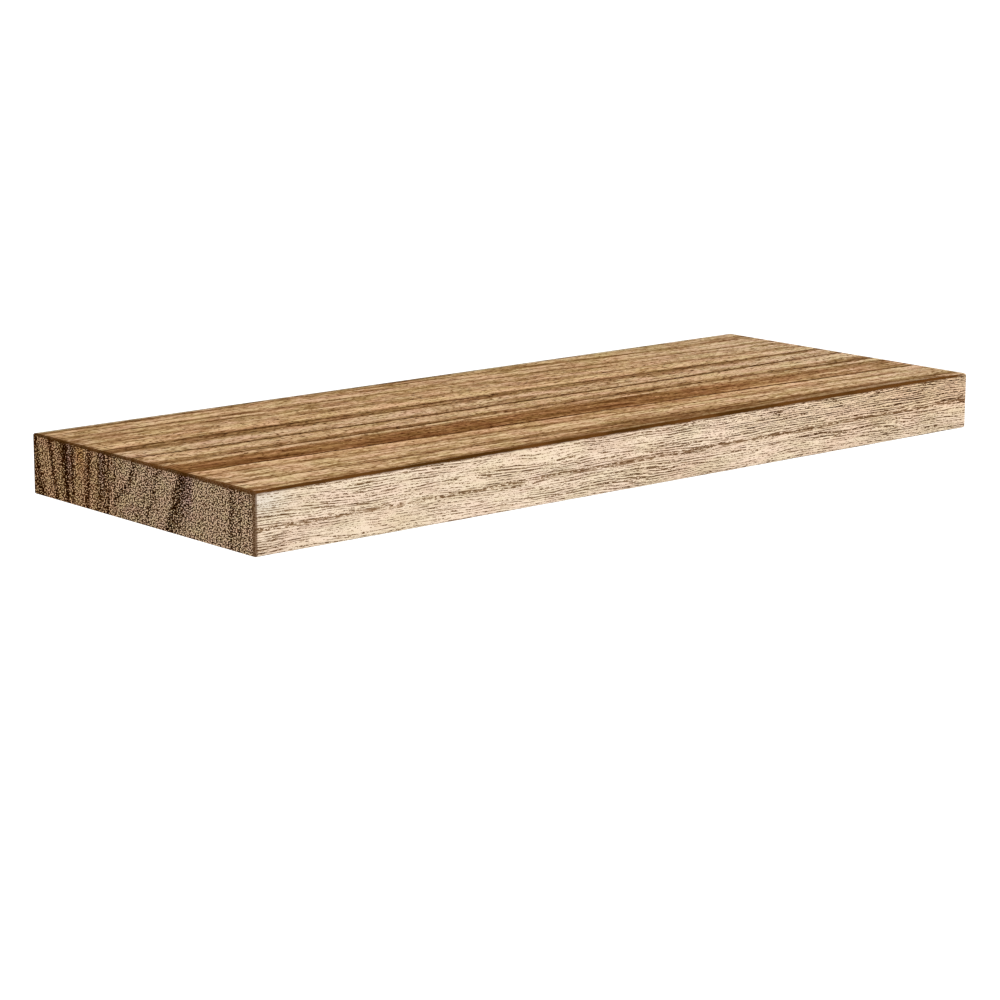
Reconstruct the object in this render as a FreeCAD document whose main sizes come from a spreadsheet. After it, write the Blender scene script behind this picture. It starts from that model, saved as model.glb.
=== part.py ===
"""Floating wall shelf: a plank of two edge-glued staves that slides onto two hidden wall brackets.

Millimetres. +X runs along the shelf, to the right for someone who faces its front edge, the front
edge faces -Y, the wall's surface is the plane y = 0 and +Z is up. The origin is the centre of the
plank's back face. Each bracket is a steel plate on the wall with a rod that reaches into the plank,
and two screws in nylon anchors hold the plate to the wall.
"""
import FreeCAD, Part
import operator
import os
from types import SimpleNamespace

import Sketcher

SHEET_NAME = "Sizes"

# name in the sheet, millimetres, what it measures
DRIVING_SIZES = [
    ("board_length", 609.6, "plank, along the wall"),
    ("board_depth", 228.6, "plank, from the wall to the front edge"),
    ("board_thickness", 38.1, "plank, top to bottom"),
    ("back_stave_width", 88.9, "width of the stave next to the wall"),
    ("arris_radius", 1.2, "rounding of the plank's outer edges"),
    ("bracket_spacing", 406.4, "distance between the two rods"),
    ("plate_length", 100, "wall plate, along the wall"),
    ("plate_height", 26, "wall plate, top to bottom"),
    ("plate_thickness", 4, "wall plate"),
    ("plate_edge_radius", 0.6, "rounding of the wall plate's front rim"),
    ("plate_recess_gap", 1.5, "space around the plate in the plank's recess"),
    ("plate_face_gap", 0.5, "space between the plate and the floor of its recess"),
    ("rod_radius", 6, "rod, where it carries the plank"),
    ("rod_length", 140, "rod, from the plate to its tip"),
    ("rod_tip_chamfer", 1.5, "lead-in at the rod's tip"),
    ("tenon_shoulder", 1, "step from the rod down to its tenon in the plate"),
    ("tenon_gap", 0.05, "radial space around the tenon"),
    ("weld_leg", 2.5, "fillet weld between rod and plate"),
    ("weld_gap", 0.5, "space between the weld and the mouth of the bore"),
    ("bore_gap", 0.25, "radial space between rod and bore"),
    ("bore_end_gap", 8, "space between the rod's tip and the bottom of the bore"),
    ("drill_point_slope", 0.6, "depth of the bore's conical end for each millimetre of its radius"),
    ("screw_spacing", 72, "distance between the two screws of a plate"),
    ("screw_radius", 2.25, "screw, over its thread"),
    ("screw_length", 50, "screw, from the top of its head to its tip"),
    ("screw_tip_length", 5, "screw, its point"),
    ("screw_head_radius", 5, "screw, its countersunk head"),
    ("screw_head_sink", 0.2, "how far the head lies below the plate's face"),
    ("screw_seat_gap", 0.05, "radial space between the head and its countersink"),
    ("screw_hole_gap", 0.5, "radial space around the screw in the plate"),
    ("drive_width", 1.1, "arm of the cross recess in the screw's head"),
    ("drive_span", 5, "cross recess, tip to tip"),
    ("drive_depth", 2.2, "cross recess"),
    ("anchor_radius", 4, "wall anchor, its plain collar"),
    ("anchor_length", 40, "wall anchor"),
    ("anchor_collar", 12, "length of the plain collar"),
    ("anchor_leg_step", 0.15, "step from the collar down to the barbs' crests"),
    ("anchor_barb_height", 0.25, "step from a barb's crest down to its foot"),
    ("anchor_tip_length", 3, "tapered end of the anchor"),
    ("anchor_tip_wall", 0.7, "wall of the anchor's far end"),
    ("anchor_bore_gap", 0.05, "radial space around the screw in the anchor"),
    ("anchor_slot", 1.2, "width of the slots that part the anchor's legs"),
    ("anchor_slot_start", 14, "distance of the slots from the wall's surface"),
]
ANCHOR_BARBS = 5
COUNTERSINK_ANGLE = 90
TOLERANCE = 1e-6

OPERATIONS = {"+": operator.add, "-": operator.sub, "*": operator.mul, "/": operator.truediv}


class Size:
    """A number in millimetres, kept together with the sheet formula that gives it."""

    def __init__(self, number, formula=None):
        self.number = float(number)
        self.formula = formula or str(number)

    def __add__(self, other):
        return combine(self, "+", other)

    def __sub__(self, other):
        return combine(self, "-", other)

    def __mul__(self, other):
        return combine(self, "*", other)

    def __truediv__(self, other):
        return combine(self, "/", other)

    def __neg__(self):
        return combine(self, "*", -1)


def as_size(value):
    return value if isinstance(value, Size) else Size(value)


def combine(left, sign, right):
    left = as_size(left)
    right = as_size(right)
    number = OPERATIONS[sign](left.number, right.number)
    return Size(number, f"({left.formula} {sign} {right.formula})")


def make_sheet(doc):
    """Fill the sheet with the driving sizes and return them as Size values by name."""
    sheet = doc.addObject("Spreadsheet::Sheet", SHEET_NAME)
    sizes = SimpleNamespace()
    for row, (alias, millimetres, meaning) in enumerate(DRIVING_SIZES, start=1):
        sheet.set(f"A{row}", alias)
        sheet.set(f"B{row}", str(millimetres))
        sheet.setAlias(f"B{row}", alias)
        sheet.set(f"C{row}", meaning)
        setattr(sizes, alias, Size(millimetres, f"{SHEET_NAME}.{alias}"))
    doc.recompute()
    return sizes


# ---- helpers for bodies, sketches and features ----

def make_body(doc, label, x=0):
    """A body whose origin is on the wall's surface, x along the shelf."""
    body = doc.addObject("PartDesign::Body", label)
    body.Label = label
    body.setExpression("Placement.Base.x", as_size(x).formula)
    return body


def origin_plane(body, role):
    for feature in body.Origin.OriginFeatures:
        if feature.Role == role:
            return feature
    raise ValueError(f"{body.Label} has no {role}")


def make_sketch(body, name, role, across=0, lift=0):
    """An empty sketch on an origin plane, moved across in the plane and lifted off it."""
    sketch = body.newObject("Sketcher::SketchObject", name)
    sketch.AttachmentSupport = (origin_plane(body, role), "")
    sketch.MapMode = "FlatFace"
    sketch.setExpression("AttachmentOffset.Base.x", as_size(across).formula)
    sketch.setExpression("AttachmentOffset.Base.z", as_size(lift).formula)
    return sketch


def bind_constraint(sketch, constraint, value):
    index = sketch.addConstraint(constraint)
    sketch.setExpression(f"Constraints[{index}]", value.formula)


def pin_coordinate(sketch, kind, geometry, point, value):
    """Fix a point's distance from the sketch's origin: kind is DistanceX or DistanceY."""
    value = as_size(value)
    if value.number:
        bind_constraint(sketch, Sketcher.Constraint(kind, -1, 1, geometry, point, value.number), value)
    else:
        axis = -2 if kind == "DistanceX" else -1
        sketch.addConstraint(Sketcher.Constraint("PointOnObject", geometry, point, axis))


def pin_point(sketch, geometry, point, u, v):
    pin_coordinate(sketch, "DistanceX", geometry, point, u)
    pin_coordinate(sketch, "DistanceY", geometry, point, v)


def join_ends(sketch, pairs):
    for (first, first_end), (second, second_end) in pairs:
        sketch.addConstraint(Sketcher.Constraint("Coincident", first, first_end, second, second_end))


def vector(u, v):
    return FreeCAD.Vector(as_size(u).number, as_size(v).number, 0)


def add_outline(sketch, points):
    """A closed outline of straight lines through points, each a pair of sizes."""
    first = sketch.GeometryCount
    corners = [vector(u, v) for u, v in points]
    for here, there in zip(corners, corners[1:] + corners[:1]):
        sketch.addGeometry(Part.LineSegment(here, there))
    for step, (u, v) in enumerate(points):
        line = first + step
        following = first + (step + 1) % len(points)
        join_ends(sketch, [((line, 2), (following, 1))])
        pin_point(sketch, line, 1, u, v)


def add_rectangle(sketch, left, right, low, high):
    add_outline(sketch, [(left, low), (right, low), (right, high), (left, high)])


def add_circle(sketch, u, v, radius):
    circle = sketch.addGeometry(Part.Circle(vector(u, v), FreeCAD.Vector(0, 0, 1), radius.number))
    pin_point(sketch, circle, 3, u, v)
    bind_constraint(sketch, Sketcher.Constraint("Radius", circle, radius.number), radius)


def add_round_ended_slot(sketch, length, height):
    """A slot about the sketch's origin: straight top and bottom, half-round ends."""
    radius = height / 2
    reach = length / 2 - radius
    tip = length / 2
    top = sketch.addGeometry(Part.LineSegment(vector(reach, radius), vector(-reach, radius)))
    left = sketch.addGeometry(Part.Arc(vector(-reach, radius), vector(-tip, 0), vector(-reach, -radius)))
    bottom = sketch.addGeometry(Part.LineSegment(vector(-reach, -radius), vector(reach, -radius)))
    right = sketch.addGeometry(Part.Arc(vector(reach, -radius), vector(tip, 0), vector(reach, radius)))
    join_ends(sketch, [((top, 2), (left, 1)), ((left, 2), (bottom, 1)),
                       ((bottom, 2), (right, 1)), ((right, 2), (top, 1))])
    pin_point(sketch, top, 1, reach, radius)
    pin_point(sketch, top, 2, -reach, radius)
    pin_point(sketch, bottom, 1, -reach, -radius)
    pin_point(sketch, bottom, 2, reach, -radius)
    pin_coordinate(sketch, "DistanceX", left, 3, -reach)
    pin_coordinate(sketch, "DistanceX", right, 3, reach)


def pad(body, name, sketch, length, centred=False):
    feature = body.newObject("PartDesign::Pad", name)
    feature.Profile = sketch
    feature.setExpression("Length", length.formula)
    feature.Midplane = centred
    return feature


def pocket(body, name, sketch, depth=None, reversed_cut=False):
    """Cut a sketch's outline against its normal, to a depth or through everything."""
    feature = body.newObject("PartDesign::Pocket", name)
    feature.Profile = sketch
    feature.Reversed = reversed_cut
    if depth is None:
        feature.Type = "ThroughAll"
    else:
        feature.setExpression("Length", depth.formula)
    return feature


def turn(body, kind, name, sketch):
    """A full turn of a sketch about its own vertical axis, as a Revolution or a Groove."""
    feature = body.newObject(f"PartDesign::{kind}", name)
    feature.Profile = sketch
    feature.ReferenceAxis = (sketch, ["V_Axis"])
    feature.Angle = 360
    return feature


def round_edges(body, name, base, edges, radius):
    feature = body.newObject("PartDesign::Fillet", name)
    feature.Base = (base, edges)
    feature.setExpression("Radius", radius.formula)
    return feature


def mirror_left_to_right(body, name, features):
    """Repeat features on the other side of the body's middle."""
    feature = body.newObject("PartDesign::Mirrored", name)
    feature.Originals = features
    feature.MirrorPlane = (origin_plane(body, "YZ_Plane"), [""])
    body.Tip = feature


# ---- the plank ----

def edge_names(feature, accept):
    """Names of a feature's edges whose ends' Y values pass a test."""
    names = []
    for number, edge in enumerate(feature.Shape.Edges, start=1):
        if accept([vertex.Y for vertex in edge.Vertexes]):
            names.append(f"Edge{number}")
    return names


def make_stave_blank(doc, s, label, front, back):
    """A board between two Y values, its outer arrises rounded and its glued edge left square."""
    glue_line = -s.back_stave_width
    body = make_body(doc, label)
    outline = make_sketch(body, "Outline", "XY_Plane")
    add_rectangle(outline, -s.board_length / 2, s.board_length / 2, front, back)
    board = pad(body, "Board", outline, s.board_thickness, centred=True)
    doc.recompute()

    def is_off_glue_line(y_values):
        return any(abs(y - glue_line.number) > TOLERANCE for y in y_values)

    round_edges(body, "Arrises", board, edge_names(board, is_off_glue_line), s.arris_radius)
    return body


def make_back_stave(doc, s):
    """The stave next to the wall: recesses for the plates and the outer lengths of the rod bores."""
    body = make_stave_blank(doc, s, "back_stave", -s.back_stave_width, 0)
    bracket_x = -s.bracket_spacing / 2
    recess_depth = s.plate_thickness + s.plate_face_gap
    outline = make_sketch(body, "RecessOutline", "XZ_Plane", across=bracket_x)
    spare = s.plate_recess_gap * 2
    add_round_ended_slot(outline, s.plate_length + spare, s.plate_height + spare)
    recess = pocket(body, "PlateRecess", outline, recess_depth, reversed_cut=True)

    bore_radius = s.rod_radius + s.bore_gap
    mouth_radius = s.rod_radius + s.weld_leg + s.weld_gap
    mouth_end = -(recess_depth + mouth_radius - bore_radius)
    outline = make_sketch(body, "BoreOutline", "XY_Plane", across=bracket_x)
    add_outline(outline, [
        (0, 0),
        (mouth_radius, 0),
        (mouth_radius, -recess_depth),
        (bore_radius, mouth_end),
        (bore_radius, -s.back_stave_width),
        (0, -s.back_stave_width),
    ])
    bore = turn(body, "Groove", "RodBore", outline)
    mirror_left_to_right(body, "RightRecessAndBore", [recess, bore])
    return body


def make_front_stave(doc, s):
    """The stave with the front edge: the blind inner ends of the rod bores."""
    body = make_stave_blank(doc, s, "front_stave", -s.board_depth, -s.back_stave_width)
    bore_radius = s.rod_radius + s.bore_gap
    bore_end = -(s.plate_thickness + s.rod_length + s.bore_end_gap)
    outline = make_sketch(body, "BoreOutline", "XY_Plane", across=-s.bracket_spacing / 2)
    add_outline(outline, [
        (0, -s.back_stave_width),
        (bore_radius, -s.back_stave_width),
        (bore_radius, bore_end),
        (0, bore_end - bore_radius * s.drill_point_slope),
    ])
    bore = turn(body, "Groove", "RodBore", outline)
    mirror_left_to_right(body, "RightBore", [bore])
    return body


# ---- a wall bracket and its fixings ----

def make_plate(doc, s, label, x):
    """A round-ended plate flat on the wall, with a hole for the rod's tenon and two for screws."""
    body = make_body(doc, label, x)
    outline = make_sketch(body, "Outline", "XZ_Plane")
    add_round_ended_slot(outline, s.plate_length, s.plate_height)
    plate = pad(body, "Plate", outline, s.plate_thickness)
    doc.recompute()

    def is_front_rim(y_values):
        return all(abs(y + s.plate_thickness.number) < TOLERANCE for y in y_values)

    round_edges(body, "FrontRim", plate, edge_names(plate, is_front_rim), s.plate_edge_radius)
    outline = make_sketch(body, "TenonHoleOutline", "XZ_Plane", lift=s.plate_thickness)
    add_circle(outline, 0, 0, s.rod_radius - s.tenon_shoulder + s.tenon_gap)
    pocket(body, "TenonHole", outline)
    hole_radius = s.screw_radius + s.screw_hole_gap
    centres = make_sketch(body, "ScrewCentres", "XZ_Plane", lift=s.plate_thickness)
    for side in (-1, 1):
        add_circle(centres, s.screw_spacing / 2 * side, 0, hole_radius)
    doc.recompute()
    countersink_radius = s.screw_head_radius + s.screw_head_sink + s.screw_seat_gap
    hole = body.newObject("PartDesign::Hole", "ScrewHoles")
    hole.Profile = centres
    hole.DepthType = "ThroughAll"
    hole.setExpression("Diameter", (hole_radius * 2).formula)
    hole.HoleCutType = "Countersink"
    hole.setExpression("HoleCutDiameter", (countersink_radius * 2).formula)
    hole.HoleCutCountersinkAngle = COUNTERSINK_ANGLE
    return body


def make_rod(doc, s, label, x):
    """A rod with a tenon that fills the plate's hole and a chamfered tip."""
    body = make_body(doc, label, x)
    shoulder = -s.plate_thickness
    tip = shoulder - s.rod_length
    tenon_radius = s.rod_radius - s.tenon_shoulder
    outline = make_sketch(body, "Outline", "XY_Plane")
    add_outline(outline, [
        (0, 0),
        (tenon_radius, 0),
        (tenon_radius, shoulder),
        (s.rod_radius, shoulder),
        (s.rod_radius, tip + s.rod_tip_chamfer),
        (s.rod_radius - s.rod_tip_chamfer, tip),
        (0, tip),
    ])
    turn(body, "Revolution", "Rod", outline)
    return body


def make_weld(doc, s, label, x):
    """A fillet weld in the corner between the plate's face and the rod."""
    body = make_body(doc, label, x)
    face = -s.plate_thickness
    outline = make_sketch(body, "Outline", "XY_Plane")
    add_outline(outline, [
        (s.rod_radius, face),
        (s.rod_radius + s.weld_leg, face),
        (s.rod_radius, face - s.weld_leg),
    ])
    turn(body, "Revolution", "Bead", outline)
    return body


def add_cross(sketch, span, width):
    """A cross about the sketch's origin."""
    tip = span / 2
    side = width / 2
    add_outline(sketch, [
        (side, side), (tip, side), (tip, -side), (side, -side),
        (side, -tip), (-side, -tip), (-side, -side), (-tip, -side),
        (-tip, side), (-side, side), (-side, tip), (side, tip),
    ])


def make_screw(doc, s, label, x):
    """A countersunk wall screw, as wide as its thread, with a cross recess in its head."""
    body = make_body(doc, label, x)
    head_top = s.screw_head_sink - s.plate_thickness
    tip = head_top + s.screw_length
    outline = make_sketch(body, "Outline", "XY_Plane")
    add_outline(outline, [
        (0, head_top),
        (s.screw_head_radius, head_top),
        (s.screw_radius, head_top + s.screw_head_radius - s.screw_radius),
        (s.screw_radius, tip - s.screw_tip_length),
        (0, tip),
    ])
    turn(body, "Revolution", "Screw", outline)
    outline = make_sketch(body, "DriveOutline", "XZ_Plane", lift=-head_top)
    add_cross(outline, s.drive_span, s.drive_width)
    pocket(body, "Drive", outline, s.drive_depth)
    return body


def make_anchor(doc, s, label, x):
    """A nylon plug: a plain collar, then four barbed legs parted by two crossing slots."""
    body = make_body(doc, label, x)
    bore_radius = s.screw_radius + s.anchor_bore_gap
    barbs_end = s.anchor_length - s.anchor_tip_length
    barb_pitch = (barbs_end - s.anchor_collar) / ANCHOR_BARBS
    crest = s.anchor_radius - s.anchor_leg_step
    foot = crest - s.anchor_barb_height
    points = [(bore_radius, 0), (s.anchor_radius, 0), (s.anchor_radius, s.anchor_collar)]
    for barb in range(ANCHOR_BARBS):
        start = s.anchor_collar + barb_pitch * barb
        points.append((foot, start))
        points.append((crest, start + barb_pitch))
    points.append((foot, barbs_end))
    points.append((bore_radius + s.anchor_tip_wall, s.anchor_length))
    points.append((bore_radius, s.anchor_length))
    outline = make_sketch(body, "Outline", "XY_Plane")
    add_outline(outline, points)
    turn(body, "Revolution", "Plug", outline)
    outline = make_sketch(body, "SlotOutline", "XZ_Plane", lift=-s.anchor_length)
    add_cross(outline, s.anchor_radius * 3, s.anchor_slot)
    pocket(body, "Slots", outline, s.anchor_length - s.anchor_slot_start, reversed_cut=True)
    return body


def make_bracket(doc, s, side, direction):
    """One bracket: side names its pieces, direction is -1 on the left and 1 on the right."""
    x = s.bracket_spacing / 2 * direction
    pieces = [
        make_plate(doc, s, f"{side}_bracket_plate", x),
        make_rod(doc, s, f"{side}_rod", x),
        make_weld(doc, s, f"{side}_weld", x),
    ]
    for place, outward in (("outer", 1), ("inner", -1)):
        screw_x = x + s.screw_spacing / 2 * direction * outward
        pieces.append(make_screw(doc, s, f"{side}_{place}_screw", screw_x))
        pieces.append(make_anchor(doc, s, f"{side}_{place}_anchor", screw_x))
    return pieces


# ---- checks and export ----

def list_faults(doc, bodies):
    """Features that failed, bodies that aren't one valid solid and cuts that take nothing away."""
    faults = []
    for feature in doc.Objects:
        if {"Invalid", "Error"} & set(feature.State):
            faults.append(f"{feature.Label} failed")
    for body in bodies:
        shape = body.Shape
        if shape.isNull() or not shape.isValid() or len(shape.Solids) != 1:
            faults.append(f"{body.Label} isn't one valid solid")
        for feature in body.Group:
            base = getattr(feature, "BaseFeature", None)
            if base and feature.Shape.Volume > base.Shape.Volume - TOLERANCE:
                faults.append(f"{feature.Label} of {body.Label} cuts nothing")
    return faults


def main():
    doc = FreeCAD.newDocument("FloatingShelf")
    s = make_sheet(doc)
    bodies = [make_back_stave(doc, s), make_front_stave(doc, s)]
    bodies += make_bracket(doc, s, "left", -1)
    bodies += make_bracket(doc, s, "right", 1)
    doc.recompute()
    faults = list_faults(doc, bodies)
    if faults:
        raise RuntimeError("; ".join(faults))
    os.makedirs("parts", exist_ok=True)
    for body in bodies:
        body.Shape.exportStep(f"parts/{body.Label}.step")
    print(len(bodies), "pieces written")


main()
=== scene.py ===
"""Looks of a floating wall shelf: a two-stave plank on hidden rod brackets, in a plain pale studio.

Metres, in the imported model's frame: +X runs along the shelf, the front edge faces -Y, the wall's
surface is the plane y = 0 and +Z is up. Inside the materials, lengths are in millimetres: along from
the plank's left end, back from the wall to the front edge, and down from its top face.
"""

import math

import bmesh
import bpy
from mathutils import Matrix, Vector, noise


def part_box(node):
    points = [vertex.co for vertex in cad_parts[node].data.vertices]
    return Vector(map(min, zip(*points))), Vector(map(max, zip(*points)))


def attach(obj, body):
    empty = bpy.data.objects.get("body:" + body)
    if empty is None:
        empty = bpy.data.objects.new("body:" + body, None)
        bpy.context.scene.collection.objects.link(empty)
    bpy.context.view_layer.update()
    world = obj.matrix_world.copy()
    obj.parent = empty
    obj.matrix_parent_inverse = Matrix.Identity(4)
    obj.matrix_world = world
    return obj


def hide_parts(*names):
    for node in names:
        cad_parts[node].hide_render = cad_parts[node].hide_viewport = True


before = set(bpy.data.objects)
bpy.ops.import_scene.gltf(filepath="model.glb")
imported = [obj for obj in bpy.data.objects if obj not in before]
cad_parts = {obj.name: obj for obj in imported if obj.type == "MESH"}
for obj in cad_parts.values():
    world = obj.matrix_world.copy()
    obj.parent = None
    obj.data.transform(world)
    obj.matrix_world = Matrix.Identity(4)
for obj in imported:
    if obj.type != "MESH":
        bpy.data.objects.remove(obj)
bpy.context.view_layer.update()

MM = 0.001
MM_PER_METRE = 1000
SIDES = ("left", "right")
PLACES = ("outer", "inner")

# The plank's corners and size, its glue line's distance from the wall and a rod's from the middle.
BACK_LOW, BOARD_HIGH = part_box("back_stave")
BOARD_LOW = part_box("front_stave")[0]
LENGTH_MM, DEPTH_MM, THICKNESS_MM = (BOARD_HIGH - BOARD_LOW) / MM
GLUE_MM = -BACK_LOW.y / MM
ROD_LOW, ROD_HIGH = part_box("right_rod")
ROD_X_MM = (ROD_LOW.x + ROD_HIGH.x) / 2 / MM


# ---- shader graphs ----

def colour(red, green, blue):
    """An sRGB colour, 0 to 255, as the linear colour that a shader takes."""
    linear = []
    for value in (red, green, blue):
        share = value / 255
        linear.append(share / 12.92 if share <= 0.04045 else ((share + 0.055) / 1.055) ** 2.4)
    return (*linear, 1.0)


# What a unit layer of the wood's brown lets through, on its oiled top and on its bare sawn edges.
BROWN = (0.368, 0.275, 0.180, 1.0)
BARE_BROWN = (0.368, 0.288, 0.215, 1.0)


class Field:
    """A value that varies over a surface: a shader node's output, with arithmetic."""

    def __init__(self, graph, socket):
        self.graph = graph
        self.socket = socket

    def __add__(self, other):
        return self.graph.math("ADD", self, other)

    def __radd__(self, other):
        return self.graph.math("ADD", other, self)

    def __sub__(self, other):
        return self.graph.math("SUBTRACT", self, other)

    def __rsub__(self, other):
        return self.graph.math("SUBTRACT", other, self)

    def __mul__(self, other):
        return self.graph.math("MULTIPLY", self, other)

    def __truediv__(self, other):
        return self.graph.math("DIVIDE", self, other)

    def __abs__(self):
        return self.graph.math("ABSOLUTE", self, 0)

    def at_most(self, other):
        return self.graph.math("MINIMUM", self, other)

    def at_least(self, other):
        return self.graph.math("MAXIMUM", self, other)

    def clamped(self):
        return self.at_least(0).at_most(1)

    def above(self, low, high):
        """0 below low, 1 above high and a smooth step between them, or the reverse if low > high."""
        return self.graph.step(self, low, high)


class Graph:
    """A material and its nodes."""

    def __init__(self, name):
        self.material = bpy.data.materials.new(name)
        self.material.use_nodes = True
        self.tree = self.material.node_tree
        self.shader = self.tree.nodes["Principled BSDF"]
        self.places = self.node("TexCoord")

    def node(self, kind, **settings):
        node = self.tree.nodes.new("ShaderNode" + kind)
        for name, value in settings.items():
            setattr(node, name, value)
        return node

    def feed(self, socket, value):
        if isinstance(value, Field):
            self.tree.links.new(value.socket, socket)
        else:
            socket.default_value = value

    def math(self, operation, first, second):
        node = self.node("Math", operation=operation)
        self.feed(node.inputs[0], first)
        self.feed(node.inputs[1], second)
        return Field(self, node.outputs[0])

    def step(self, value, low, high):
        node = self.node("MapRange", interpolation_type="SMOOTHSTEP")
        self.feed(node.inputs["Value"], value)
        self.feed(node.inputs["From Min"], low)
        self.feed(node.inputs["From Max"], high)
        return Field(self, node.outputs["Result"])

    def split(self, socket):
        node = self.node("SeparateXYZ")
        self.tree.links.new(socket, node.inputs[0])
        return [Field(self, output) for output in node.outputs]

    def vector(self, x, y, z):
        node = self.node("CombineXYZ")
        for socket, value in zip(node.inputs, (x, y, z)):
            self.feed(socket, value)
        return Field(self, node.outputs[0])

    def noise(self, x, y, z, detail=2.0, roughness=0.5):
        """Soft noise from 0 to 1, one bump per unit of x, y and z."""
        node = self.node("TexNoise")
        self.feed(node.inputs["Vector"], self.vector(x, y, z))
        node.inputs["Scale"].default_value = 1.0
        node.inputs["Detail"].default_value = detail
        node.inputs["Roughness"].default_value = roughness
        return Field(self, node.outputs["Fac"])

    def cells(self, x, y, z):
        """Scattered cells, about one per unit cube, with a value from 0 to 1 for each by chance."""
        node = self.node("TexVoronoi")
        self.feed(node.inputs["Vector"], self.vector(x, y, z))
        node.inputs["Scale"].default_value = 1.0
        chance = self.node("SeparateColor")
        self.tree.links.new(node.outputs["Color"], chance.inputs[0])
        return Field(self, chance.outputs[0])

    def curve(self, value, points, span):
        """A curve through points given as (position, height), with positions from 0 to span."""
        node = self.node("FloatCurve")
        line = node.mapping.curves[0]
        last = len(points) - 1
        for number, (position, height) in enumerate(points):
            x = position / span
            if number in (0, last):
                point = line.points[0 if number == 0 else -1]
                point.location = (x, height)
            else:
                point = line.points.new(x, height)
            point.handle_type = "VECTOR"
        node.mapping.update()
        self.feed(node.inputs["Value"], value / span)
        return Field(self, node.outputs[0])

    def mix(self, share, first, second, blend="MIX"):
        node = self.node("Mix", data_type="RGBA", blend_type=blend)
        sockets = {socket.identifier: socket for socket in node.inputs}
        self.feed(sockets["Factor_Float"], share)
        self.feed(sockets["A_Color"], first)
        self.feed(sockets["B_Color"], second)
        result = {socket.identifier: socket for socket in node.outputs}["Result_Color"]
        return Field(self, result)

    def coats(self, base, coats):
        """Colours laid over a base in turn: each a share and an sRGB colour, or a Field of colour."""
        for share, coat in coats:
            base = self.mix(share, base, coat if isinstance(coat, Field) else colour(*coat))
        return base

    def deepen(self, base, strength, brown=BROWN):
        """Wood toned by its own brown: strength 0 leaves it, 1 is mid brown and 4 nearly black."""
        node = self.node("Gamma")
        node.inputs["Color"].default_value = brown
        self.feed(node.inputs["Gamma"], strength)
        return self.mix(1.0, base, Field(self, node.outputs[0]), "MULTIPLY")

    def bump(self, height, relief_mm, strength):
        """Relief: height 1 stands that many millimetres above height 0."""
        node = self.node("Bump")
        node.inputs["Strength"].default_value = strength
        node.inputs["Distance"].default_value = relief_mm * MM
        self.feed(node.inputs["Height"], height)
        return Field(self, node.outputs[0])

    def finish(self, base, roughness, normal, metallic=0.0, specular=0.5):
        self.feed(self.shader.inputs["Base Color"], base)
        self.feed(self.shader.inputs["Roughness"], roughness)
        self.feed(self.shader.inputs["Normal"], normal)
        self.shader.inputs["Metallic"].default_value = metallic
        self.shader.inputs["Specular IOR Level"].default_value = specular
        return self.material


# ---- the plank's wood ----

# Growth rings across the top face at the left end, from the back edge: where the dark edge lies,
# how far the shade builds up before it and fades after it, in millimetres, and how dark it is.
RINGS = [
    # The first entry darkens the back edge itself: painted shade along the back arris, not a ring.
    (0, 1, 4, 0.35),
    (6, 5, 7, 0.72),
    (14, 2, 3, 0.35),
    (27.5, 4, 8, 0.66),
    (38, 7, 6, 0.48),
    (44, 4, 4, 0.42),
    (55, 6, 7, 0.58),
    (76, 5, 14, 0.98),
    (83.5, 4, 7, 0.88),
    (105.5, 4, 3, 0.90),
    (129.5, 10, 4, 0.92),
    (140, 5, 30, 0.80),
    (154, 8, 7, 1.00),
    (160.6, 3, 2, 1.00),
    (175, 4, 6, 0.62),
    (188, 4, 5, 0.42),
    (201.5, 8, 3, 0.72),
    (221, 8, 6, 0.50),
    (234.5, 5, 3, 0.85),
    (241, 3, 3, 0.40),
]
# The same for the left end grain, where some rings are darker than on the top and some hardly show.
END_RINGS = [
    (3, 4, 3, 0.90),
    (18, 1.5, 3, 1.00),
    (26, 3, 3, 0.35),
    (35.5, 9, 3, 1.00),
    (43.5, 2, 2.5, 1.00),
    (60, 2, 2, 0.40),
    (63.5, 2.5, 2.5, 0.85),
    (73, 3, 3, 0.60),
    (78, 2, 3, 0.75),
    (83, 2, 2.5, 0.95),
    (98, 1.5, 1.5, 0.40),
    (110.5, 3, 4, 1.00),
    (127, 4, 4, 0.35),
    (135, 4, 4, 0.70),
    (157, 4, 16, 1.00),
    (207, 4, 4, 0.95),
    (217, 3, 3, 0.65),
    (227, 2, 3, 0.50),
]
RING_SPAN_MM = 250.0
# A ring's curve has a point at each dark edge and at even steps, but no two points nearer than the gap.
RING_STEP_MM = 2.5
RING_GAP_MM = 0.6

# Thin dark lines on the same scale: where, half their width, and how dark.
HAIRLINES = [
    (6, 0.7, 0.30),
    (15.5, 0.8, 0.55),
    (27.3, 0.7, 0.50),
    (39, 0.8, 0.35),
    (61, 0.6, 0.35),
    (75.5, 0.9, 0.60),
    (83.6, 0.8, 0.55),
    (105.5, 1.3, 1.00),
    (129.8, 0.9, 0.60),
    (137, 0.5, 0.30),
    (160.8, 1.2, 0.90),
    (175, 0.6, 0.40),
    (201.5, 0.9, 0.45),
    (221, 0.7, 0.40),
]


# The grain of the front stave drifts towards the front edge from the plank's left end to its right end. The
# drift is a share of the most there is, by the distance back from the wall.
MOST_DRIFT_MM = 50
FRONT_DRIFT = [
    (0, 0.12), (89, 0.12), (108, 0.14), (134, 0.18), (160, 0.36), (185, 0.42), (205, 0.36), (228.6, 0.4),
]
# The lean of the rings through the thickness: millimetres back for each millimetre down, plus UPRIGHT.
UPRIGHT = 0.5
BACK_LEAN = [(0, 0.55), (15, 0.76), (35, 0.7), (45, 0.5), (62, 0.38), (75, 0.5), (89, 0.42)]
FRONT_LEAN = [
    (0, 0.2), (95, 0.2), (137, 0.1), (157, 0.2), (190, 0.45), (204, 0.5), (221, 0.3), (228.6, 0.25),
]
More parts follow.
